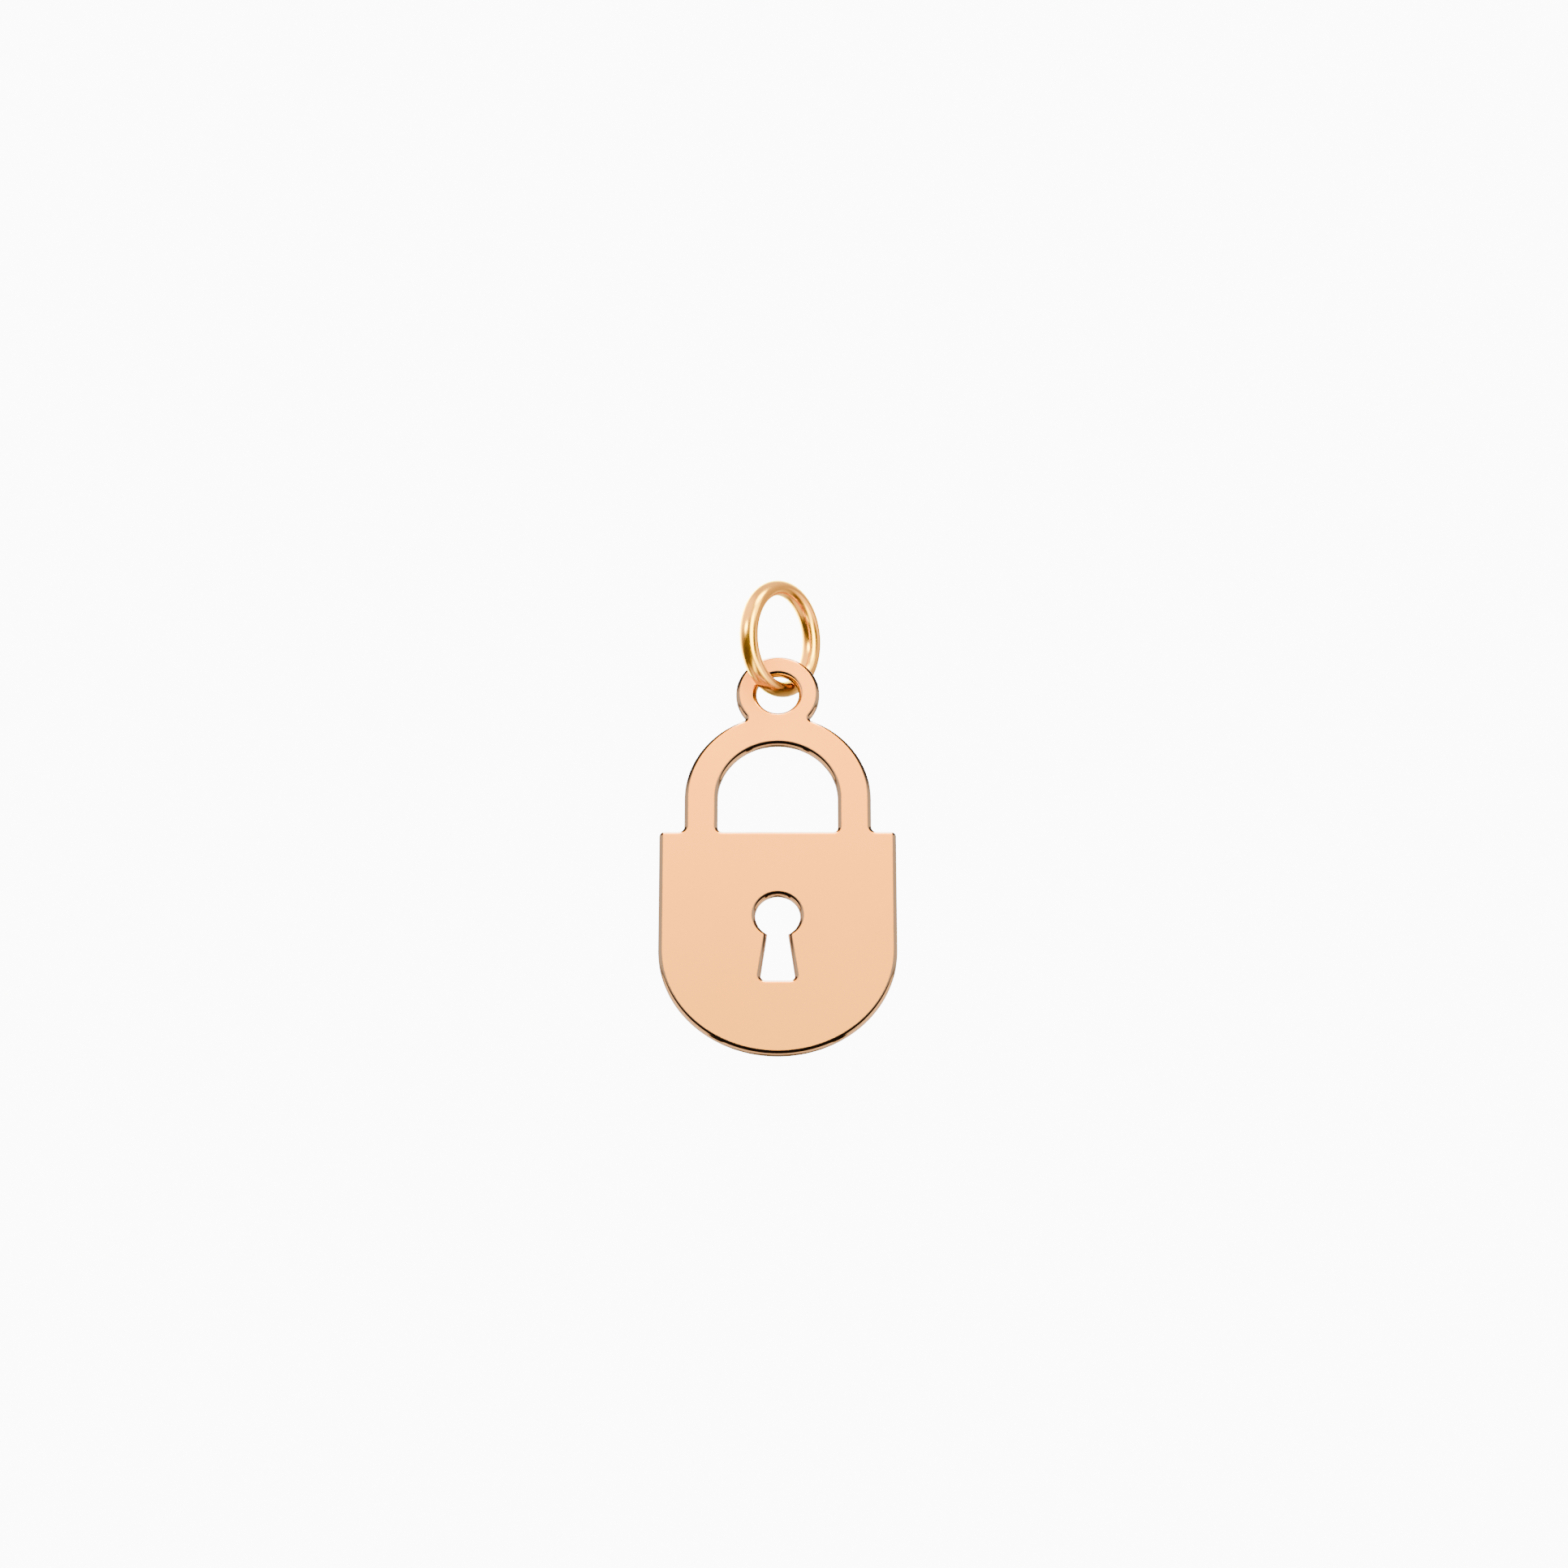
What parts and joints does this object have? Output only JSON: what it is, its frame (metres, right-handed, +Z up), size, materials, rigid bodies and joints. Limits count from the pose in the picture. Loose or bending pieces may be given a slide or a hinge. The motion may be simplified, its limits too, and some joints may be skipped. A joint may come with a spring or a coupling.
{
  "type": "padlock pendant",
  "caption": "Flat padlock-shaped pendant plate with a cut-through keyhole, a round shackle and an eyelet, hanging on a closed jump ring that a chain passes through.",
  "frame": {"origin": "the highest point of the jump ring's inside, where a chain carries the pendant", "axes": "+Z up, +X right as seen from the front, the front faces -Y; the plate hangs plumb, parallel to XZ"},
  "size_m": [0.01, 0.0043, 0.0215],
  "materials": {
    "rose_gold": "polished",
    "yellow_gold": "polished"
  },
  "bodies": {
    "ring": {"jump_ring": "yellow_gold"},
    "pendant": {"padlock_plate": "rose_gold"}
  },
  "joints": [
    {"name": "pendant_swing", "type": "hinge", "parent": "ring", "child": "pendant", "pos_m": [-0.00044, 0.00089, -0.0039], "axis": [-0.6136, -0.7625, -0.2051], "range_deg": [-120, 120]}
  ]
}
